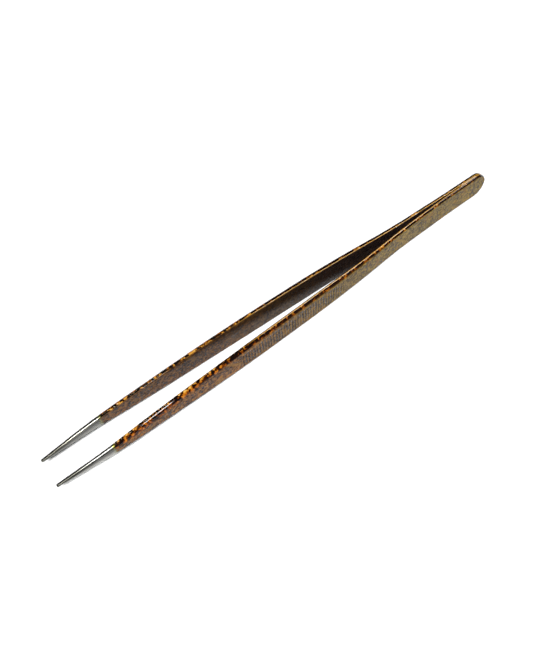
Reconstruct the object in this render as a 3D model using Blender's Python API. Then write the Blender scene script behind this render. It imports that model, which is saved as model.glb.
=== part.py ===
"""Straight aquascaping tweezers: two sprung steel arms joined by a weld at a round tail.

Metres, +Z up. The tool lies on its long edges on the plane z = 0, with the origin under its middle.
+X runs from the tips to the tail and Y runs across the opening, with the front arm on the -Y side.
Distances named "along" are measured from the tail's end towards the tips.

An arm is one strip of steel in the real tool. Its spring zone bends, so here the strip is split at
the flex line into a root, which stays with the tail, and a blade, which turns about that line.
"""

import math

import bmesh
import bpy
from mathutils import Vector

# Overall size
LENGTH = 0.200
BODY_WIDTH = 0.0108
WAIST_WIDTH = 0.0097
TIP_WIDTH = 0.0010

# Places along the tool, from the tail's end
WELD_END = 0.013
WELD_RUNOUT = 0.002
PARALLEL_TAIL_END = 0.026
FLEX_LINE = 0.036
WAIST = 0.058
RIBS_START = 0.077
GRIP_START = 0.094
TAPER_START = 0.112
RIBS_END = 0.127
ROUND_TIP_START = LENGTH - TIP_WIDTH / 2

# How the blade's width falls off towards the tip: 1 is a straight taper, more is a fuller blade
TAPER_POWER = 1.75

# Grip ribs, whose valleys leave a smooth margin along each edge
RIB_PITCH = 0.00125
RIB_DEPTH = 0.00014
RIB_HEIGHT_SHARE = 0.82

# Weld groove along the rim of the tail, and the bead in it
GROOVE_HALF_WIDTH = 0.00055
GROOVE_DEPTH = 0.0009
BEAD_DEPTH = 0.0006

# Clearances between neighbouring solids
SEAM_GAP = 0.0003
BEAD_GAP = 0.00024

# (distance along, value) stations that the smooth profiles pass through
HALF_GAPS = [
    (0.0, 0.0),
    (WELD_END, 0.0),
    (0.040, 0.0005),
    (0.070, 0.0023),
    (0.100, 0.00344),
    (0.130, 0.00431),
    (0.160, 0.00486),
    (0.180, 0.0052),
    (LENGTH, 0.0048),
]
THICKNESSES = [(0.0, 0.00135), (0.030, 0.00145), (0.090, 0.00215), (0.165, 0.00215), (LENGTH, 0.0010)]
SHOULDER_DEPTHS = [(0.0, 0.0008), (0.036, 0.0009), (0.090, 0.0015), (0.165, 0.0015), (LENGTH, 0.0004)]
SHOULDER_HEIGHTS = [(0.0, 0.0007), (0.036, 0.0006), (0.090, 0.0011), (0.160, 0.0022), (LENGTH, 0.0003)]

# A shoulder never takes more than this share of the strip's half width
SHOULDER_HEIGHT_LIMIT = 0.8

# Mesh fineness
STATION_STEP = 0.003
ROUND_END_STEPS = 10
ROUND_TIP_STEPS = 4
SHOULDER_STEPS = 4
MERGE_DISTANCE = 1e-6
SHARP_EDGE_DEG = 30

# Finish: amber lacquer under a clear coat
LACQUER = (0.16, 0.075, 0.02, 1.0)
WELD_LACQUER = (0.12, 0.06, 0.02, 1.0)
LACQUER_ROUGHNESS = 0.25
COAT_WEIGHT = 0.8


def smooth_through(stations, place):
    """Value at a place on a curve that passes through the stations and never overshoots them."""
    places = [station[0] for station in stations]
    values = [station[1] for station in stations]
    if place <= places[0]:
        return values[0]
    if place >= places[-1]:
        return values[-1]
    spans = [after - before for before, after in zip(places, places[1:])]
    slopes = [(after - before) / span for before, after, span in zip(values, values[1:], spans)]
    tangents = [slopes[0]]
    for before, after in zip(slopes, slopes[1:]):
        same_way = before * after > 0
        tangents.append(2 * before * after / (before + after) if same_way else 0.0)
    tangents.append(slopes[-1])
    index = max(number for number, start in enumerate(places[:-1]) if start <= place)
    span = spans[index]
    u = (place - places[index]) / span
    from_start = (1 + 2 * u) * (1 - u) ** 2 * values[index] + u * (1 - u) ** 2 * span * tangents[index]
    from_end = u * u * (3 - 2 * u) * values[index + 1] + u * u * (u - 1) * span * tangents[index + 1]
    return from_start + from_end


def strip_width(along):
    """Height of the strip from edge to edge: parallel, slightly waisted, then tapered to the tip."""
    if along < TAPER_START:
        stations = [(0.0, BODY_WIDTH), (PARALLEL_TAIL_END, BODY_WIDTH), (WAIST, WAIST_WIDTH)]
        stations += [(GRIP_START, BODY_WIDTH), (TAPER_START, BODY_WIDTH)]
        return smooth_through(stations, along)
    share = (along - TAPER_START) / (ROUND_TIP_START - TAPER_START)
    return TIP_WIDTH + (BODY_WIDTH - TIP_WIDTH) * (1 - share**TAPER_POWER)


def inner_face(along):
    """Distance from the tool's middle plane to an arm's flat inner face."""
    return SEAM_GAP / 2 + smooth_through(HALF_GAPS, along)


def groove_share(along):
    """How much of the weld groove is left: all of it along the weld, then a short run-out."""
    return min(1.0, max(0.0, (WELD_END - along) / WELD_RUNOUT))


def section(along, valley):
    """Half of the strip's section, from its inner face over the rounded shoulder to the rib zone.

    Each point is (distance from the middle plane, inset from the strip's edge), so that one outline
    serves the straight strip and its round ends.
    """
    inner = inner_face(along)
    outer = inner + smooth_through(THICKNESSES, along)
    half_width = strip_width(along) / 2
    depth = smooth_through(SHOULDER_DEPTHS, along)
    height = min(smooth_through(SHOULDER_HEIGHTS, along), SHOULDER_HEIGHT_LIMIT * half_width)
    groove = groove_share(along)
    points = [(inner, GROOVE_DEPTH * groove), (inner + GROOVE_HALF_WIDTH * groove, 0.0)]
    for step in range(SHOULDER_STEPS + 1):
        angle = math.pi / 2 * step / SHOULDER_STEPS
        points.append((outer - depth * (1 - math.sin(angle)), height * (1 - math.cos(angle))))
    ribbed_half = (half_width - height) * RIB_HEIGHT_SHARE
    margin = (half_width - height - ribbed_half) / 2
    points.append((outer, height + margin))
    points.append((outer - valley, half_width - ribbed_half))
    return half_width, points


def ring(along, valley=0.0):
    """Closed ring round the straight strip, as (along, distance from the middle plane, height)."""
    half_width, points = section(along, valley)
    upper = [(along, outward, half_width - inset) for outward, inset in points]
    lower = [(place, outward, -height) for place, outward, height in reversed(upper)]
    return upper + lower


def swung_ring(along, angle, towards_tip):
    """The same ring swung round the strip's end, where every outline is a half circle."""
    half_width, points = section(along, 0.0)
    way = 1 if towards_tip else -1
    upper = []
    for outward, inset in points:
        radius = half_width - inset
        upper.append((along + way * radius * math.sin(angle), outward, radius * math.cos(angle)))
    lower = [(place, outward, -height) for place, outward, height in reversed(upper)]
    return upper + lower


def straight_rings(start, end):
    """Evenly spread rings from start to end, both included."""
    count = max(1, round((end - start) / STATION_STEP))
    return [ring(start + (end - start) * index / count) for index in range(count + 1)]


def ribbed_rings():
    """A crest and a valley for each grip rib; the first and last ribs are shallower."""
    rings = []
    count = round((RIBS_END - RIBS_START) / RIB_PITCH)
    for index in range(count):
        crest = RIBS_START + index * RIB_PITCH
        ribs_from_end = 0.5 + min(index, count - 1 - index)
        rings.append(ring(crest))
        rings.append(ring(crest + RIB_PITCH / 2, RIB_DEPTH * min(1.0, ribs_from_end / 2)))
    return rings


def root_rings():
    """From the tail's round end, along the weld, to the flex line."""
    radius = BODY_WIDTH / 2
    groove_end = WELD_END - WELD_RUNOUT
    rings = []
    for step in range(ROUND_END_STEPS):
        angle = math.pi / 2 * (1 - step / ROUND_END_STEPS)
        rings.append(swung_ring(radius, angle, towards_tip=False))
    rings += straight_rings(radius, groove_end)[:-1]
    rings += straight_rings(groove_end, WELD_END)[:-1]
    rings += straight_rings(WELD_END, FLEX_LINE - SEAM_GAP / 2)
    return rings


def blade_rings():
    """From the flex line, over the ribbed grip, down the taper and round the tip."""
    rings = straight_rings(FLEX_LINE + SEAM_GAP / 2, RIBS_START)[:-1]
    rings += ribbed_rings()
    rings += straight_rings(RIBS_END, ROUND_TIP_START)
    for step in range(ROUND_TIP_STEPS):
        angle = math.pi / 2 * (step + 1) / ROUND_TIP_STEPS
        rings.append(swung_ring(ROUND_TIP_START, angle, towards_tip=True))
    return rings


def bead_rings():
    """The weld bead's rings along the top edge, round the tail's end and back along the bottom."""
    radius = BODY_WIDTH / 2
    surface_half = SEAM_GAP / 2 + GROOVE_HALF_WIDTH - BEAD_GAP
    groove_half = SEAM_GAP / 2 + GROOVE_HALF_WIDTH * (1 - BEAD_DEPTH / GROOVE_DEPTH)
    root_half = groove_half - BEAD_GAP
    outline = [
        (surface_half, radius),
        (root_half, radius - BEAD_DEPTH),
        (-root_half, radius - BEAD_DEPTH),
        (-surface_half, radius),
    ]
    straight_end = WELD_END - WELD_RUNOUT - BEAD_GAP
    arc_steps = 2 * ROUND_END_STEPS
    rings = [[(straight_end, outward, height) for outward, height in outline]]
    for step in range(arc_steps + 1):
        turn = math.pi * step / arc_steps
        sine = math.sin(turn)
        cosine = math.cos(turn)
        rings.append([(radius - reach * sine, outward, reach * cosine) for outward, reach in outline])
    rings.append([(straight_end, outward, -height) for outward, height in outline])
    return rings


def skin(rings, side, origin, open_start=True, open_end=True):
    """Mesh over the rings, capped where a ring is open, as seen from the origin of its pivot."""
    mesh = bmesh.new()
    loops = []
    for points in rings:
        loop = []
        for along, outward, height in points:
            place = Vector((LENGTH / 2 - along, side * outward, BODY_WIDTH / 2 + height))
            loop.append(mesh.verts.new(place - origin))
        loops.append(loop)
    for near, far in zip(loops, loops[1:]):
        for index, corner in enumerate(near):
            after = (index + 1) % len(near)
            mesh.faces.new((corner, near[after], far[after], far[index]))
    if open_start:
        mesh.faces.new(loops[0])
    if open_end:
        mesh.faces.new(loops[-1])
    bmesh.ops.remove_doubles(mesh, verts=mesh.verts[:], dist=MERGE_DISTANCE)
    bmesh.ops.recalc_face_normals(mesh, faces=mesh.faces[:])
    return mesh


def add_piece(name, mesh, material, pivot):
    """Turn a mesh into a named object that hangs on its body's pivot."""
    data = bpy.data.meshes.new(name)
    mesh.to_mesh(data)
    mesh.free()
    data.materials.append(material)
    data.shade_smooth()
    data.set_sharp_from_angle(angle=math.radians(SHARP_EDGE_DEG))
    piece = bpy.data.objects.new(name, data)
    bpy.context.scene.collection.objects.link(piece)
    piece.parent = pivot
    return piece


def add_pivot(name, location):
    """Empty that carries one body; a moving body's pivot lies on its joint's axis."""
    pivot = bpy.data.objects.new(name, None)
    pivot.location = location
    pivot.empty_display_size = BODY_WIDTH
    bpy.context.scene.collection.objects.link(pivot)
    return pivot


def add_material(name, colour):
    """Lacquered metal: a dark amber base under a clear coat."""
    material = bpy.data.materials.new(name)
    material.use_nodes = True
    shader = material.node_tree.nodes["Principled BSDF"]
    shader.inputs["Base Color"].default_value = colour
    shader.inputs["Roughness"].default_value = LACQUER_ROUGHNESS
    shader.inputs["Metallic"].default_value = 0.0
    shader.inputs["Coat Weight"].default_value = COAT_WEIGHT
    return material


def build_arm(name, side, tail, material):
    """One strip: its root on the tail, and its blade on a pivot at the flex line."""
    add_piece(f"{name}_root", skin(root_rings(), side, tail.location, open_start=False), material, tail)
    middle = inner_face(FLEX_LINE) + smooth_through(THICKNESSES, FLEX_LINE) / 2
    pivot = add_pivot(f"{name}_flex", Vector((LENGTH / 2 - FLEX_LINE, side * middle, BODY_WIDTH / 2)))
    blade = skin(blade_rings(), side, pivot.location, open_end=False)
    add_piece(f"{name}_blade", blade, material, pivot)


def build():
    """Clear the scene, then make the two arms and the weld between them."""
    for piece in list(bpy.data.objects):
        bpy.data.objects.remove(piece, do_unlink=True)
    lacquer = add_material("tortoiseshell_lacquer", LACQUER)
    weld_lacquer = add_material("weld_lacquer", WELD_LACQUER)
    tail = add_pivot("tail", Vector((LENGTH / 2 - WELD_END, 0.0, 0.0)))
    build_arm("front_arm", -1, tail, lacquer)
    build_arm("rear_arm", 1, tail, lacquer)
    add_piece("tail_weld", skin(bead_rings(), 1, tail.location), weld_lacquer, tail)


build()
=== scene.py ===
"""Looks for the straight aquascaping tweezers: two lacquered spring-steel arms with a round tail.

Metres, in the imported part's own frame: +X runs from the tips to the tail, Y across the opening with
the front arm on the -Y side, +Z up. Distances named "along" are measured from the tail's end.
"""

import math

import bmesh
import bpy
from mathutils import Matrix, Vector


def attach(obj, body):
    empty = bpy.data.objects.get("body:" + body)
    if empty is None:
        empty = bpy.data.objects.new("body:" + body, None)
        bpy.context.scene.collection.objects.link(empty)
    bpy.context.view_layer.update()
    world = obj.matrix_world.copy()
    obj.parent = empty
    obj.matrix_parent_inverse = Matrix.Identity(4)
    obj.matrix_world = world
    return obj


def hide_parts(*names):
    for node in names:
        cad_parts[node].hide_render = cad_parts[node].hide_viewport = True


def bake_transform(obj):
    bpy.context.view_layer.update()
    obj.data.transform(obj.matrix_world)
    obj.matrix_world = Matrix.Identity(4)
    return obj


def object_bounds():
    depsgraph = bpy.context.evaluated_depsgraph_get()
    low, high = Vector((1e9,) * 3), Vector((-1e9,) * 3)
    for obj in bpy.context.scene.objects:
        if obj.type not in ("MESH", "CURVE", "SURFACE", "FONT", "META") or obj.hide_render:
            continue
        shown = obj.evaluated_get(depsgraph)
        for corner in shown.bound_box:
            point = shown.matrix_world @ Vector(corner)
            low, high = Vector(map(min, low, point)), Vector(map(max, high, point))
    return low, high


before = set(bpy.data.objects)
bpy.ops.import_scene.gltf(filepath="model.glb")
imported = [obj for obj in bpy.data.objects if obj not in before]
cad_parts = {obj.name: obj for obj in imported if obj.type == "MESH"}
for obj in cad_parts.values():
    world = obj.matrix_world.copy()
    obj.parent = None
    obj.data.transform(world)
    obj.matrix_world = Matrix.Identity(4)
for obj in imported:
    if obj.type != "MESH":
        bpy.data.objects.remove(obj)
CAD_LOW, CAD_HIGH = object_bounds()

# ---------------------------------------------------------------- sizes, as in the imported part
TAIL_X = CAD_HIGH.x
LENGTH = CAD_HIGH.x - CAD_LOW.x
BODY_WIDTH = CAD_HIGH.z - CAD_LOW.z
END_RADIUS = BODY_WIDTH / 2
MIDDLE_Z = (CAD_HIGH.z + CAD_LOW.z) / 2
WAIST_WIDTH = 0.0097
TIP_WIDTH = 0.0010
WELD_END = 0.013
PARALLEL_TAIL_END = 0.026
FLEX_LINE = 0.036
WAIST = 0.058
RIBS_START = 0.077
GRIP_START = 0.094
TAPER_START = 0.112
RIBS_END = 0.127
ROUND_TIP_START = LENGTH - TIP_WIDTH / 2
TAPER_POWER = 1.75
RIB_PITCH = 0.00125
RIB_DEPTH = 0.00014
RIB_HEIGHT_SHARE = 0.82
RIB_CREST_POWER = 0.8
LOW_END_RIBS = 2
SEAM_HALF = 0.00015
WELD_SEAM_HALF = 0.00001
SHOULDER_HEIGHT_LIMIT = 0.8

# sizes that change along the strip, as (along, size)
HALF_GAPS = [
    (0.0, 0.0),
    (WELD_END, 0.0),
    (0.040, 0.0005),
    (0.070, 0.0023),
    (0.100, 0.00344),
    (0.130, 0.00431),
    (0.160, 0.00486),
    (0.180, 0.0052),
    (LENGTH, 0.0048),
]
THICKNESSES = [
    (0.0, 0.00135),
    (0.030, 0.00145),
    (0.090, 0.00215),
    (0.165, 0.00215),
    (LENGTH, 0.0010),
]
SHOULDER_DEPTHS = [
    (0.0, 0.0008),
    (0.036, 0.0009),
    (0.090, 0.0015),
    (0.165, 0.0015),
    (LENGTH, 0.0004),
]
SHOULDER_HEIGHTS = [
    (0.0, 0.0007),
    (0.036, 0.0006),
    (0.090, 0.0011),
    (0.160, 0.0022),
    (LENGTH, 0.0003),
]
CORNER_DEPTHS = [
    (0.0, 0.0003),
    (0.036, 0.0003),
    (0.090, 0.0005),
    (0.180, 0.0005),
    (LENGTH, 0.00025),
]
CORNER_HEIGHTS = [
    (0.0, 0.00025),
    (0.165, 0.00028),
    (0.180, 0.0006),
    (0.190, 0.0005),
    (LENGTH, 0.0002),
]

# the weld bead: it ends just past the weld, where it is narrower and slightly lower
BEAD_END = WELD_END + 0.0008
BEAD_HALF_WIDTH = 0.0006
BEAD_CROWN = 0.00005
BEAD_SINK = 0.000004
BEAD_DEPTH = 0.0004
BEAD_END_DROP = 0.00006
BEAD_END_WIDTH_SHARE = 0.35

# ---------------------------------------------------------------- mesh fineness
RIB_SAMPLES = 8
PLAIN_STEP = 0.0008
CORNER_STEPS = 10
LAND_STEPS = 3
SHOULDER_STEPS = 14
MARGIN_STEPS = 3
FACE_STEPS = 8
ROUND_END_STEPS = 40
ROUND_TIP_STEPS = 10
CROWN_STEPS = 10
BEAD_STEPS = 14
BEAD_FADE_STEPS = 5
MERGE_DISTANCE = 5e-8
SHARP_ANGLE = math.radians(40)


def smooth_through(stations, place):
    """Value at a place on a curve that passes through the stations and never overshoots them."""
    places = [station[0] for station in stations]
    values = [station[1] for station in stations]
    if place <= places[0]:
        return values[0]
    if place >= places[-1]:
        return values[-1]
    spans = [after - before for before, after in zip(places, places[1:])]
    slopes = [(after - before) / span for before, after, span in zip(values, values[1:], spans)]
    tangents = [slopes[0]]
    for before, after in zip(slopes, slopes[1:]):
        same_way = before * after > 0
        tangents.append(2 * before * after / (before + after) if same_way else 0.0)
    tangents.append(slopes[-1])
    index = max(number for number, start in enumerate(places[:-1]) if start <= place)
    span = spans[index]
    u = (place - places[index]) / span
    from_start = (1 + 2 * u) * values[index] + u * span * tangents[index]
    from_end = (3 - 2 * u) * values[index + 1] + (u - 1) * span * tangents[index + 1]
    return (1 - u) ** 2 * from_start + u * u * from_end


def ease(share):
    """Smooth step from 0 to 1."""
    share = min(1.0, max(0.0, share))
    return share * share * (3 - 2 * share)


def strip_width(along):
    """Width of the strip in Z: parallel at the tail, a slight waist, full at the grip, a taper."""
    if along < TAPER_START:
        stations = [
            (0.0, BODY_WIDTH),
            (PARALLEL_TAIL_END, BODY_WIDTH),
            (WAIST, WAIST_WIDTH),
            (GRIP_START, BODY_WIDTH),
            (TAPER_START, BODY_WIDTH),
        ]
        return smooth_through(stations, along)
    share = (along - TAPER_START) / (ROUND_TIP_START - TAPER_START)
    return TIP_WIDTH + (BODY_WIDTH - TIP_WIDTH) * (1 - share**TAPER_POWER)


def inner_face(along):
    """From the middle plane to the arm's inner face; along the weld the arms close up."""
    opened = ease((along - WELD_END) / (FLEX_LINE - WELD_END))
    seam = WELD_SEAM_HALF + (SEAM_HALF - WELD_SEAM_HALF) * opened
    return seam + smooth_through(HALF_GAPS, along)


def rib_depth(along):
    """How deep the surface lies under the outer face here; the first and last ribs are low."""
    if not RIBS_START < along < RIBS_END:
        return 0.0
    ribs_from_end = min(along - RIBS_START, RIBS_END - along) / RIB_PITCH
    wave = 0.5 - 0.5 * math.cos(2 * math.pi * (along - RIBS_START) / RIB_PITCH)
    return RIB_DEPTH * min(1.0, ribs_from_end / LOW_END_RIBS) * wave**RIB_CREST_POWER


def section(along):
    """Half the strip's width here, and the upper half of its outline from the inner face outward.

    Each point is (distance from the middle plane, inset from the edge, face, groove). Face is 1 on
    the broad faces and 0 on the edge, and groove is 1 at the bottom of a full-depth rib valley.
    """
    half_width = strip_width(along) / 2
    inner = inner_face(along)
    outer = SEAM_HALF + smooth_through(HALF_GAPS, along) + smooth_through(THICKNESSES, along)
    depth = smooth_through(SHOULDER_DEPTHS, along)
    height = smooth_through(SHOULDER_HEIGHTS, along)
    height = min(height, SHOULDER_HEIGHT_LIMIT * half_width)
    corner_depth = smooth_through(CORNER_DEPTHS, along)
    corner_height = smooth_through(CORNER_HEIGHTS, along)
    points = []
    for step in range(CORNER_STEPS + 1):
        angle = math.pi / 2 * step / CORNER_STEPS
        outward = inner + corner_depth * (1 - math.cos(angle))
        face = 1 - step / CORNER_STEPS
        points.append((outward, corner_height * (1 - math.sin(angle)), face, 0.0))
    land_start = inner + corner_depth
    land_end = outer - depth
    for step in range(1, LAND_STEPS):
        points.append((land_start + (land_end - land_start) * step / LAND_STEPS, 0.0, 0.0, 0.0))
    for step in range(SHOULDER_STEPS + 1):
        angle = math.pi / 2 * step / SHOULDER_STEPS
        outward = outer - depth * (1 - math.sin(angle))
        face = max(0.0, 2 * step / SHOULDER_STEPS - 1)
        points.append((outward, height * (1 - math.cos(angle)), face, 0.0))
    ribbed_half = (half_width - height) * RIB_HEIGHT_SHARE
    margin = half_width - height - ribbed_half
    valley = rib_depth(along)
    groove = valley / RIB_DEPTH
    for step in range(1, MARGIN_STEPS + 1):
        share = step / MARGIN_STEPS
        lowered = ease(share)
        points.append((outer - valley * lowered, height + margin * share, 1.0, groove * lowered))
    for step in range(1, FACE_STEPS):
        inset = half_width - ribbed_half * (1 - step / FACE_STEPS)
        points.append((outer - valley, inset, 1.0, groove))
    return half_width, points


def ring(along, turn=0.0, way=1):
    """Closed ring of the strip as (along, outward, height, traits); a turn swings it round an end.

    The traits shade the surface: face, depth from the inner face, and groove.
    """
    half_width, points = section(along)
    inner_start = points[0][0]
    sine = way * math.sin(turn)
    cosine = math.cos(turn)
    upper = []
    for outward, inset, face, groove in points:
        reach = half_width - inset
        traits = (face, outward - inner_start, groove)
        upper.append((along + reach * sine, outward, reach * cosine, traits))
    place, outward, height, traits = upper[-1]
    middle = [(place, outward, 0.0, traits)]
    lower = []
    for place, outward, height, traits in reversed(upper):
        lower.append((place, outward, -height, traits))
    place, outward, height, traits = upper[0]
    inner = []
    for step in range(1, FACE_STEPS):
        inner.append((place, outward, height * (2 * step / FACE_STEPS - 1), traits))
    return upper + middle + lower + inner


def arm_rings():
    """Rings of one arm, from the round tail's end to the round tip."""
    rings = []
    for step in range(ROUND_END_STEPS):
        turn = math.pi / 2 * (1 - step / ROUND_END_STEPS)
        rings.append(ring(END_RADIUS, turn, way=-1))
    for start, end, step in (
        (END_RADIUS, RIBS_START, PLAIN_STEP),
        (RIBS_START, RIBS_END, RIB_PITCH / RIB_SAMPLES),
        (RIBS_END, ROUND_TIP_START, PLAIN_STEP),
    ):
        count = round((end - start) / step)
        rings += [ring(start + (end - start) * index / count) for index in range(count)]
    rings.append(ring(ROUND_TIP_START))
    for step in range(ROUND_TIP_STEPS):
        turn = math.pi / 2 * (step + 1) / ROUND_TIP_STEPS
        rings.append(ring(ROUND_TIP_START, turn))
    return rings


def bead_ring(place, turn, fade):
    """Section of the weld bead, swung round the tail; it is narrow and low where it fades out."""
    outline = []
    for step in range(CROWN_STEPS + 1):
        across = 1 - 2 * step / CROWN_STEPS
        outline.append((BEAD_HALF_WIDTH * across, BEAD_CROWN * (1 - across**2) - BEAD_SINK))
    outline += [(-BEAD_HALF_WIDTH / 2, -BEAD_DEPTH), (BEAD_HALF_WIDTH / 2, -BEAD_DEPTH)]
    width_share = BEAD_END_WIDTH_SHARE + (1 - BEAD_END_WIDTH_SHARE) * fade
    points = []
    for outward, rise in outline:
        reach = END_RADIUS + (rise if rise < 0 else rise * fade) - (1 - fade) * BEAD_END_DROP
        outward *= width_share
        traits = (0.0, abs(outward), 0.0)
        points.append((place - reach * math.sin(turn), outward, reach * math.cos(turn), traits))
    return points


def bead_rings():
    """The weld, ground almost flush: a low crown over the joint, all the way round the tail."""
    straight = []
    for step in range(BEAD_STEPS):
        place = BEAD_END + (END_RADIUS - BEAD_END) * step / BEAD_STEPS
        straight.append((place, ease(step / BEAD_FADE_STEPS)))
    arc_steps = 2 * ROUND_END_STEPS
    rings = [bead_ring(place, 0.0, fade) for place, fade in straight]
    for step in range(arc_steps + 1):
        rings.append(bead_ring(END_RADIUS, math.pi * step / arc_steps, 1.0))
    rings += [bead_ring(place, math.pi, fade) for place, fade in reversed(straight)]
    return rings


def add_piece(name, rings, side, material, capped):
    """Skins the rings into one mesh on one side of the middle plane, with their traits stored."""
    mesh = bmesh.new()
    layers = [mesh.verts.layers.float.new(trait) for trait in ("face", "depth", "groove")]
    loops = []
    for points in rings:
        loop = []
        for along, outward, height, traits in points:
            vertex = mesh.verts.new((TAIL_X - along, side * outward, MIDDLE_Z + height))
            for layer, value in zip(layers, traits):
                vertex[layer] = value
            loop.append(vertex)
        loops.append(loop)
    for near, far in zip(loops, loops[1:]):
        for index, corner in enumerate(near):
            after = (index + 1) % len(near)
            mesh.faces.new((corner, near[after], far[after], far[index]))
    if capped:
        mesh.faces.new(loops[0])
        mesh.faces.new(loops[-1])
    bmesh.ops.remove_doubles(mesh, verts=mesh.verts[:], dist=MERGE_DISTANCE)
    bmesh.ops.recalc_face_normals(mesh, faces=mesh.faces[:])
    data = bpy.data.meshes.new(name)
    mesh.to_mesh(data)
    mesh.free()
    # the pattern is read from where each point is at rest, so that it bends with the arm
    rest = data.attributes.new("rest", "FLOAT_VECTOR", "POINT")
    rest.data.foreach_set("vector", [value for vertex in data.vertices for value in vertex.co])
    data.materials.append(material)
    data.shade_smooth()
    data.set_sharp_from_angle(angle=SHARP_ANGLE)
    piece = bpy.data.objects.new(name, data)
    bpy.context.scene.collection.objects.link(piece)
    return piece


# ---------------------------------------------------------------- colours of lacquer and steel
GOLDEN_FLAKES = [
    (0.46, (0.004, 0.0025, 0.0015)),
    (0.510, (0.024, 0.007, 0.0015)),
    (0.535, (0.20, 0.062, 0.005)),
    (0.575, (0.52, 0.22, 0.022)),
    (0.64, (0.72, 0.42, 0.085)),
]
ORANGE_FLAKES = [
    (0.43, (0.006, 0.002, 0.0015)),
    (0.49, (0.035, 0.008, 0.001)),
    (0.52, (0.12, 0.025, 0.001)),
    (0.56, (0.30, 0.075, 0.003)),
    (0.62, (0.48, 0.16, 0.010)),
]
BROWN_MOTTLING = [
    (0.40, (0.020, 0.011, 0.008)),
    (0.47, (0.060, 0.028, 0.013)),
    (0.53, (0.120, 0.054, 0.017)),
    (0.62, (0.25, 0.100, 0.020)),
]
OLIVE_MOTTLING = [
    (0.38, (0.034, 0.026, 0.015)),
    (0.46, (0.082, 0.055, 0.016)),
    (0.53, (0.136, 0.090, 0.017)),
    (0.63, (0.24, 0.145, 0.021)),
]
INNER_MOTTLING_IN_PAINTED_SHADE = [(0.42, (0.006, 0.0045, 0.0060)), (0.62, (0.030, 0.017, 0.0145))]
BRUSHED_STEEL = [(0.3, (0.36, 0.36, 0.335)), (0.7, (0.60, 0.60, 0.565))]
DEEP_SHOULDER = (0.030, 0.010, 0.004)
PAINTED_GLINT = (0.90, 0.74, 0.48)
PAINTED_GOLD_HIGHLIGHT = (0.45, 0.225, 0.033)
LINE_SHADOW = (0.008, 0.004, 0.002)
UNDERSIDE_PAINTED_SHADE = (0.010, 0.006, 0.004)
LOWER_RIM_PAINTED_SHADE = (0.012, 0.008, 0.006)
AMBER_PATCH = (0.21, 0.098, 0.013)
INNER_TOP_PAINTED_SHADE = (0.010, 0.0065, 0.0085)
STEEL_SHADE = (0.040, 0.040, 0.038)
REAR_STEEL_SHADE = (0.030, 0.030, 0.028)
STEEL_CORNER_HIGHLIGHT = (0.40, 0.39, 0.33)
STEEL_POINT_PAINTED_SHADE = (0.022, 0.021, 0.015)
FILM_ON_EDGE = (0.22, 0.21, 0.035)
FILM_ON_FACE = (0.15, 0.155, 0.075)
LACQUER_ROUGHNESS = 0.2

# ---------------------------------------------------------------- where the surface changes, in X
LACQUER_END = -0.07735
TO_TIPS = (-0.0850, -0.093)
TO_TAPER = (-0.045, -0.062)
TO_DENSE_FLAKES = (-0.045, 0.020)
TO_DEEP_SHOULDER = (-0.030, 0.0)
TO_EDGE_LINE = (-0.026, -0.012)
TO_CENTRED_LINE = (0.050, 0.075)
TO_RIBS = (-0.028, -0.024)
TO_RIBS_FROM_TAIL = (0.025, 0.020)
TO_OLIVE = (-0.040, 0.045)
TO_DARK_INSIDE = (-0.045, 0.025)
TO_DARK_INSIDE_TOP = (-0.060, -0.020)
POINT_LENGTH = 0.022

# ---------------------------------------------------------------- where it changes, in depth
INNER_FACE_DEPTHS = (0.0004, 0.0007)
SHOULDER_COLOUR_DEPTHS = (0.0006, 0.0014)
GLINT_DEPTHS = (0.0007, 0.0009)
STEEL_CORNER_DEPTHS = (0.0005, 0.0007)
LINE_START_DEPTHS = (0.00006, 0.00018)
LINE_END_DEPTHS = (0.00040, 0.00060)
LINE_SHADOW_DEPTHS = (0.0, 0.00012)
FRONT_LINE_SHIFT = 0.00026

# ---------------------------------------------------------------- scales of the patterns
DRIFT_SCALE = 150.0
PATCH_SCALE = 240.0
BLOTCH_SCALE = 620.0
WARP_SCALE = 700.0
WARP_PUSH = 0.0011
WOBBLE_SCALE = 900.0
WOBBLE_REACH = 0.0016
GRAIN_SCALE = 1100.0
FLAKE_SCALE = 1250.0
COAT_SCALE = 1300.0
BUMP_SCALE = 1500.0
SPECK_SCALE = 2300.0
BRUSHING_SCALE = (250.0, 5000.0, 5000.0)
BUMP_DISTANCE = 0.00004
BASE_BUMP = 0.12
COAT_BUMP = 0.02


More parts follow.
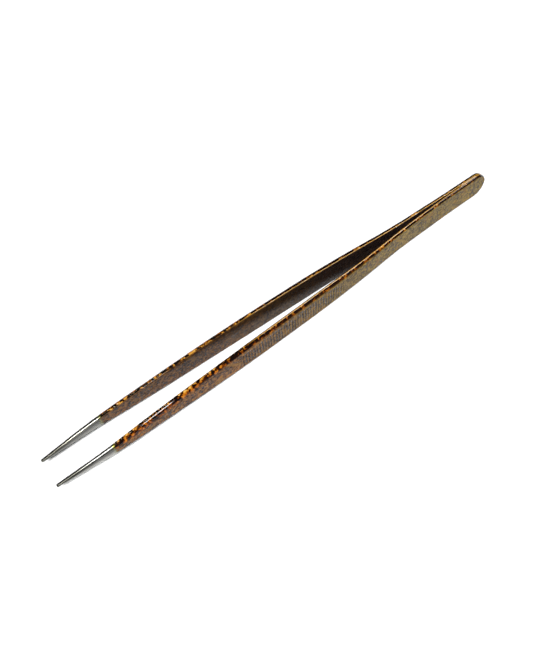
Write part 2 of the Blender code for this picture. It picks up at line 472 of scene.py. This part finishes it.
class Nodes:
    """Small helper that adds and wires shader nodes."""

    def __init__(self, name):
        self.material = bpy.data.materials.new(name)
        self.material.use_nodes = True
        self.tree = self.material.node_tree
        self.tree.nodes.clear()
        self.output = self.tree.nodes.new("ShaderNodeOutputMaterial")

    def add(self, kind, inputs=None, **settings):
        node = self.tree.nodes.new(kind)
        for key, value in settings.items():
            setattr(node, key, value)
        for key, value in (inputs or {}).items():
            if isinstance(value, bpy.types.NodeSocket):
                self.tree.links.new(value, node.inputs[key])
            else:
                node.inputs[key].default_value = value
        return node

    def attribute(self, name, output="Fac"):
        settings = {"attribute_type": "GEOMETRY", "attribute_name": name}
        return self.add("ShaderNodeAttribute", **settings).outputs[output]

    def maths(self, operation, a, b):
        return self.add("ShaderNodeMath", {0: a, 1: b}, operation=operation).outputs[0]

    def plus(self, a, b):
        return self.maths("ADD", a, b)

    def minus(self, a, b):
        return self.maths("SUBTRACT", a, b)

    def times(self, a, b):
        return self.maths("MULTIPLY", a, b)

    def between(self, share, a, b):
        """Number a turning into number b as the share goes from 0 to 1."""
        return self.plus(a, self.times(share, self.minus(b, a)))

    def mix(self, share, a, b):
        """Colour a turning into colour b as the share goes from 0 to 1."""
        a, b = ((*value, 1.0) if isinstance(value, tuple) else value for value in (a, b))
        return self.add("ShaderNodeMix", {0: share, 6: a, 7: b}, data_type="RGBA").outputs[2]

    def vector_maths(self, operation, inputs):
        return self.add("ShaderNodeVectorMath", inputs, operation=operation).outputs[0]

    def noise(self, vector, scale, detail=2.0, roughness=0.5, output="Fac"):
        inputs = {"Vector": vector, "Scale": scale, "Detail": detail, "Roughness": roughness}
        return self.add("ShaderNodeTexNoise", inputs).outputs[output]

    def ramp(self, value, stops):
        node = self.add("ShaderNodeValToRGB", {"Fac": value})
        elements = node.color_ramp.elements
        while len(elements) > 1:
            elements.remove(elements[-1])
        elements[0].position, elements[0].color = stops[0][0], (*stops[0][1], 1.0)
        for place, colour in stops[1:]:
            elements.new(place).color = (*colour, 1.0)
        return node.outputs["Color"]

    def map_range(self, value, low, high, to_low=0.0, to_high=1.0, smooth=False):
        limits = {"From Min": low, "From Max": high, "To Min": to_low, "To Max": to_high}
        kind = "SMOOTHSTEP" if smooth else "LINEAR"
        inputs = {"Value": value, **limits}
        return self.add("ShaderNodeMapRange", inputs, interpolation_type=kind).outputs[0]

    def bump(self, height, strength):
        inputs = {"Strength": strength, "Distance": BUMP_DISTANCE, "Height": height}
        return self.add("ShaderNodeBump", inputs).outputs[0]


class Tortoiseshell(Nodes):
    """Amber flakes in near-black lacquer under a clear coat, and bare steel past its end."""

    def __init__(self, name, with_tip):
        super().__init__(name)
        self.read_surface()
        self.make_pattern()
        on_face = self.map_range(self.face, 0.0, 0.5, smooth=True)
        # painted shade: the lower half of the edges is darkened, with a darker line along the lower
        # rim, standing in for the shade under the tool; both also thin the clear coat
        below = self.map_range(self.z, MIDDLE_Z - 0.0005, MIDDLE_Z, 1.0, 0.0)
        underside_shade = self.times(below, 0.7)
        rim_shade = self.times(below, self.map_range(self.face, 0.85, 0.35, 0.0, 0.9))

        # in the taper the edge's flakes run on over the dome of the outer face
        domed = self.map_range(self.face, 0.4, 0.9, smooth=True)
        tone = self.between(self.in_taper, on_face, domed)
        amber = self.mix(tone, self.edge_colour(underside_shade), self.face_colour())
        # painted shade along the lower rim
        amber = self.mix(rim_shade, amber, LOWER_RIM_PAINTED_SHADE)
        coat = self.coat_weight(on_face, underside_shade, rim_shade)

        shader = self.add("ShaderNodeBsdfPrincipled")
        shader.inputs["Specular IOR Level"].default_value = 0.0
        shader.inputs["Coat Roughness"].default_value = 0.04
        shader.inputs["Coat IOR"].default_value = 1.5
        height = self.times(self.noise(self.rest, BUMP_SCALE, 3.0, 0.6), 0.6)
        height = self.plus(height, self.times(self.speck, 0.4))
        sockets = {
            "Normal": self.bump(height, BASE_BUMP),
            "Coat Normal": self.bump(height, COAT_BUMP),
        }
        if with_tip:
            sockets.update(self.lacquer_over_steel(amber, coat, on_face))
        else:
            sockets.update({"Base Color": amber, "Coat Weight": coat})
            shader.inputs["Roughness"].default_value = LACQUER_ROUGHNESS
        for key, socket in sockets.items():
            self.tree.links.new(socket, shader.inputs[key])
        self.tree.links.new(shader.outputs[0], self.output.inputs[0])

    def read_surface(self):
        """The rest place and the traits that add_piece stored."""
        self.rest = self.attribute("rest", "Vector")
        self.face = self.attribute("face")
        self.depth = self.attribute("depth")
        self.groove = self.attribute("groove")
        self.x, self.y, self.z = self.add("ShaderNodeSeparateXYZ", {0: self.rest}).outputs
        self.rear = self.map_range(self.y, -0.0002, 0.0002)
        self.in_taper = self.map_range(self.x, *TO_TAPER)

    def make_pattern(self):
        """Blotches and specks that a fine warp pushes about, and a slow drift about zero."""
        warp = self.noise(self.rest, WARP_SCALE, output="Color")
        push = self.vector_maths("SUBTRACT", {0: warp, 1: (0.5, 0.5, 0.5)})
        push = self.vector_maths("SCALE", {0: push, "Scale": WARP_PUSH})
        self.place = self.vector_maths("ADD", {0: self.rest, 1: push})
        self.blotch = self.noise(self.place, BLOTCH_SCALE)
        self.speck = self.noise(self.place, SPECK_SCALE, 2.0, 0.6)
        self.drift = self.minus(self.noise(self.rest, DRIFT_SCALE, 1.0), 0.5)

    def edge_colour(self, underside_shade):
        """Strip edges: golden flakes near the inner corner, orange ones over the shoulder."""
        cells = self.add("ShaderNodeTexVoronoi", {"Vector": self.place, "Scale": FLAKE_SCALE})
        flake = self.add("ShaderNodeSeparateColor", {0: cells.outputs["Color"]}).outputs[0]
        shown = self.plus(self.times(self.blotch, 0.72), self.times(self.speck, 0.20))
        shown = self.plus(shown, self.times(flake, 0.08))
        shown = self.plus(shown, self.times(self.drift, 0.14))
        density = self.map_range(self.x, *TO_DENSE_FLAKES, 0.012, -0.060, smooth=True)
        shown = self.plus(shown, density)
        rarer = self.plus(self.times(self.rear, 0.026), 0.020)
        golden = self.minus(shown, self.times(self.in_taper, rarer))
        golden = self.ramp(golden, GOLDEN_FLAKES)
        orange = self.ramp(shown, ORANGE_FLAKES)
        over = self.map_range(self.depth, *SHOULDER_COLOUR_DEPTHS, smooth=True)
        deep = self.map_range(self.x, *TO_DEEP_SHOULDER, 0.0, 0.35, smooth=True)
        colour = self.mix(self.times(over, deep), self.mix(over, golden, orange), DEEP_SHOULDER)
        # painted glints: small pale specks on the edge near the inner corner, in the taper, standing
        # in for sparkles of light on the coat
        glint = self.map_range(self.depth, *GLINT_DEPTHS, 0.8, 0.0)
        glint = self.times(self.map_range(self.speck, 0.62, 0.66), glint)
        colour = self.mix(self.times(glint, self.in_taper), colour, PAINTED_GLINT)

        # a painted highlight: a golden line along the inner corner standing in for light caught
        # there, with a dark hairline of painted shade beside it
        line_shift = self.map_range(self.x, *TO_CENTRED_LINE, FRONT_LINE_SHIFT, 0.0)
        line_shift = self.times(self.minus(1.0, self.rear), line_shift)
        from_line = self.minus(self.depth, line_shift)
        gold_highlight = self.map_range(from_line, *LINE_END_DEPTHS, 1.0, 0.0, smooth=True)
        gold_highlight = self.times(gold_highlight, self.map_range(from_line, *LINE_START_DEPTHS, smooth=True))
        gold_highlight = self.times(gold_highlight, self.map_range(self.x, *TO_EDGE_LINE, smooth=True))
        gold_highlight = self.times(gold_highlight, self.map_range(self.blotch, 0.32, 0.44, 0.55, 1.0))
        shadow = self.map_range(from_line, *LINE_SHADOW_DEPTHS, 0.9, 0.0)
        shadow = self.times(shadow, self.map_range(self.x, *TO_EDGE_LINE))
        colour = self.mix(gold_highlight, self.mix(shadow, colour, LINE_SHADOW), PAINTED_GOLD_HIGHLIGHT)
        # painted shade over the lower half of the edge
        return self.mix(underside_shade, colour, UNDERSIDE_PAINTED_SHADE)

    def face_colour(self):
        """Broad faces: finer, duller mottling, more olive toward the tail, with painted shade making
        them darker inside and in the rib valleys.
        """
        grains = self.times(self.noise(self.place, GRAIN_SCALE, 2.0, 0.55), 0.62)
        grains = self.plus(grains, self.times(self.blotch, 0.30))
        grains = self.plus(self.plus(grains, self.times(self.drift, 0.16)), 0.055)

        # calmer among the ribs, whose valleys are darkened with painted shade
        ribbed = self.map_range(self.x, *TO_RIBS)
        ribbed = self.times(ribbed, self.map_range(self.x, *TO_RIBS_FROM_TAIL))
        calm = self.times(self.minus(0.58, grains), self.times(ribbed, 0.35))
        grains = self.plus(self.plus(grains, calm), self.times(self.groove, -0.135))
        brown = self.ramp(grains, BROWN_MOTTLING)
        olive = self.ramp(grains, OLIVE_MOTTLING)
        colour = self.mix(self.map_range(self.x, *TO_OLIVE, smooth=True), brown, olive)
        patch = self.noise(self.rest, PATCH_SCALE, 1.0)
        patch = self.map_range(patch, 0.60, 0.70, 0.0, 0.6)
        colour = self.mix(patch, colour, AMBER_PATCH)

        # the inner face gets painted shade: darker toward the tail's join, and darkest along its top
        # near the tail
        inside = self.map_range(self.depth, *INNER_FACE_DEPTHS, 1.0, 0.0)
        dark = self.map_range(self.x, *TO_DARK_INSIDE, 0.18, 0.95, smooth=True)
        inner = self.ramp(grains, INNER_MOTTLING_IN_PAINTED_SHADE)
        colour = self.mix(self.times(inside, dark), colour, inner)
        top = self.map_range(self.z, MIDDLE_Z - 0.0015, MIDDLE_Z + 0.0040, 0.0, 0.30, smooth=True)
        top = self.times(top, inside)
        top = self.times(top, self.map_range(self.x, *TO_DARK_INSIDE_TOP, smooth=True))
        return self.mix(top, colour, INNER_TOP_PAINTED_SHADE)

    def coat_weight(self, on_face, underside_shade, rim_shade):
        """Clear coat: patchy on the faces, full on the upper edges, thin on the lower ones."""
        patchy = self.noise(self.rest, COAT_SCALE, 3.0, 0.65)
        patchy = self.map_range(patchy, 0.35, 0.65, 0.15, 0.75)
        coat = self.between(on_face, self.minus(1.0, underside_shade), patchy)
        return self.times(coat, self.minus(1.0, rim_shade))

    def lacquer_over_steel(self, amber, coat, on_face):
        """The lacquer ends in a thin film on a slightly uneven line, over brushed steel."""
        wobble = self.minus(self.noise(self.rest, WOBBLE_SCALE), 0.5)
        wobble = self.times(wobble, WOBBLE_REACH)
        edge = self.plus(self.plus(self.x, self.times(self.y, -0.12)), wobble)
        cover = self.map_range(edge, LACQUER_END - 0.0003, LACQUER_END + 0.0005, smooth=True)
        film = self.map_range(edge, LACQUER_END - 0.0012, LACQUER_END + 0.0002, smooth=True)

        mapping = {"Vector": self.rest, "Scale": BRUSHING_SCALE}
        brushing = self.add("ShaderNodeMapping", mapping).outputs[0]
        grain = self.noise(brushing, 1.0, 3.0, 0.6)
        steel = self.ramp(grain, BRUSHED_STEEL)
        # painted shade: the bare steel is darker toward the top of each face, standing in for a dark
        # reflection, and the rear arm's steel is darker still
        point_range = (CAD_LOW.x, CAD_LOW.x + POINT_LENGTH)
        half_height = self.map_range(self.x, *point_range, 0.0005, 0.0025)
        up_face = self.maths("DIVIDE", self.minus(self.z, MIDDLE_Z), half_height)
        steel = self.mix(self.map_range(up_face, -0.6, 0.35, 0.0, 0.78), steel, STEEL_SHADE)
        steel = self.mix(self.times(self.rear, 0.5), steel, REAR_STEEL_SHADE)
        # painted highlight: a pale line along the steel's inner corner
        corner = self.map_range(self.depth, *STEEL_CORNER_DEPTHS, 1.0, 0.0)
        corner = self.times(self.map_range(self.face, 0.98, 0.75), corner)
        steel = self.mix(corner, steel, STEEL_CORNER_HIGHLIGHT)
        # painted shade over the upper side of the points
        point = self.map_range(self.x, *TO_TIPS, 0.0, 0.85)
        point = self.times(point, self.map_range(up_face, -0.4, 0.3))
        steel = self.mix(point, steel, STEEL_POINT_PAINTED_SHADE)
        steel = self.mix(film, steel, self.mix(on_face, FILM_ON_EDGE, FILM_ON_FACE))
        steel_roughness = self.map_range(grain, 0.3, 0.7, 0.24, 0.34)
        return {
            "Base Color": self.mix(cover, steel, amber),
            "Metallic": self.minus(1.0, cover),
            "Roughness": self.between(cover, steel_roughness, LACQUER_ROUGHNESS),
            "Coat Weight": self.times(cover, coat),
        }


lacquer = Tortoiseshell("tortoiseshell_lacquer_over_steel", with_tip=True).material
weld_lacquer = Tortoiseshell("tortoiseshell_lacquer_on_weld", with_tip=False).material

# ---------------------------------------------------------------- pieces
strip_rings = arm_rings()
for arm, side in (("front_arm", -1), ("rear_arm", 1)):
    strip = add_piece(f"{arm}_strip", strip_rings, side, lacquer, capped=False)
    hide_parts(f"{arm}_root", f"{arm}_blade")
    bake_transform(strip)

bead = add_piece("tail_weld_bead", bead_rings(), 1, weld_lacquer, capped=True)
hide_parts("tail_weld")
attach(bead, "tail")

# ---------------------------------------------------------------- stage
FLOOR_HALF = 9.0
FLOOR_CLEARANCE = 0.00005
WALL_RADIUS = 7.0
KEY_ENERGY = 4.6
KEY_ANGLE = math.radians(14.0)
KEY_DIRECTION = (-0.317, -0.40, 1.0)
DARK_SKY_HEIGHT = 0.14

scene = bpy.context.scene
scene.view_settings.view_transform = "Standard"


def add_stage(name, mesh, kind, shader_inputs):
    """Turns a bmesh into part of the stage, with one plain shader."""
    nodes = Nodes(f"white_{name}")
    shader = nodes.add(kind, shader_inputs)
    nodes.tree.links.new(shader.outputs[0], nodes.output.inputs[0])
    data = bpy.data.meshes.new(name)
    mesh.to_mesh(data)
    mesh.free()
    data.materials.append(nodes.material)
    stage = bpy.data.objects.new(name, data)
    scene.collection.objects.link(stage)
    return stage


floor_mesh = bmesh.new()
bmesh.ops.create_grid(floor_mesh, x_segments=1, y_segments=1, size=FLOOR_HALF)
floor = add_stage("table", floor_mesh, "ShaderNodeBsdfDiffuse", {"Color": (0.9, 0.9, 0.9, 1.0)})
floor.location.z = CAD_LOW.z - FLOOR_CLEARANCE

# a pale wall all round that only the camera sees, so that low views have no dark sky behind them
wall_mesh = bmesh.new()
bmesh.ops.create_uvsphere(wall_mesh, u_segments=48, v_segments=24, radius=WALL_RADIUS)
glow = {"Color": (1.0, 1.0, 1.0, 1.0), "Strength": 1.0}
wall = add_stage("wall", wall_mesh, "ShaderNodeEmission", glow)
wall.visible_diffuse = False
wall.visible_glossy = False
wall.visible_transmission = False
wall.visible_shadow = False


def add_softbox(name, place, length, width, radiance):
    """Glossy-only softbox aimed at the tool, its long side level and as near to X as it can be."""
    light = bpy.data.lights.new(name, "AREA")
    light.shape = "RECTANGLE"
    light.size = length
    light.size_y = width
    light.energy = radiance * math.pi * length * width
    lamp = bpy.data.objects.new(name, light)
    away = Vector(place).normalized()
    level = (Vector((1, 0, 0)) - away * away.x).normalized()
    turned = Matrix((level, away.cross(level), away)).transposed().to_4x4()
    lamp.matrix_world = Matrix.Translation(place) @ turned
    lamp.visible_diffuse = False
    scene.collection.objects.link(lamp)


add_softbox("strip_above", (0.585, 0.46, 1.0), length=0.63, width=0.06, radiance=26.0)
add_softbox("lamp_above", (-0.072, -0.50, 1.0), length=0.08, width=0.40, radiance=24.0)

key = bpy.data.lights.new("key", "SUN")
key.energy = KEY_ENERGY
key.angle = KEY_ANGLE
key_lamp = bpy.data.objects.new("key", key)
key_lamp.rotation_mode = "QUATERNION"
key_lamp.rotation_quaternion = Vector(KEY_DIRECTION).to_track_quat("Z", "Y")
scene.collection.objects.link(key_lamp)

# the sky: white at the horizon and almost black above, so that the clear coat reflects little
world = bpy.data.worlds.new("studio")
scene.world = world
world.use_nodes = True
tree = world.node_tree
tree.nodes.clear()
coords = tree.nodes.new("ShaderNodeTexCoord")
split = tree.nodes.new("ShaderNodeSeparateXYZ")
fade = tree.nodes.new("ShaderNodeValToRGB")
background = tree.nodes.new("ShaderNodeBackground")
world_output = tree.nodes.new("ShaderNodeOutputWorld")
tree.links.new(coords.outputs["Generated"], split.inputs[0])
tree.links.new(split.outputs["Z"], fade.inputs[0])
tree.links.new(fade.outputs[0], background.inputs[0])
tree.links.new(background.outputs[0], world_output.inputs[0])
horizon, overhead = fade.color_ramp.elements
horizon.position = 0.0
horizon.color = (1, 1, 1, 1)
overhead.position = DARK_SKY_HEIGHT
overhead.color = (0.03, 0.03, 0.03, 1)

# ---------------------------------------------------------------- camera
ELEVATION = math.radians(58.0)
HEADING = math.radians(30.6)
ROLL = math.radians(-7.7)
CAMERA_PLACE = (-0.0801, -0.1177, 0.2197)
SENSOR_SIZE = 36.0
FOCAL_SHARE = 700 / 666

sideways = Vector((math.cos(HEADING), -math.sin(HEADING), 0.0))
ahead = Vector((math.sin(HEADING), math.cos(HEADING), 0.0))
forward = ahead * math.cos(ELEVATION) - Vector((0.0, 0.0, math.sin(ELEVATION)))
upward = sideways.cross(forward)
camera_right = sideways * math.cos(ROLL) + upward * math.sin(ROLL)
camera_up = upward * math.cos(ROLL) - sideways * math.sin(ROLL)
camera_data = bpy.data.cameras.new("camera")
camera_data.sensor_width = SENSOR_SIZE
camera_data.lens = SENSOR_SIZE * FOCAL_SHARE
camera_data.clip_start = 0.01
camera_data.clip_end = 50.0
camera = bpy.data.objects.new("camera", camera_data)
camera_turn = Matrix((camera_right, camera_up, -forward)).transposed().to_4x4()
camera.matrix_world = Matrix.Translation(CAMERA_PLACE) @ camera_turn
scene.collection.objects.link(camera)
scene.camera = camera
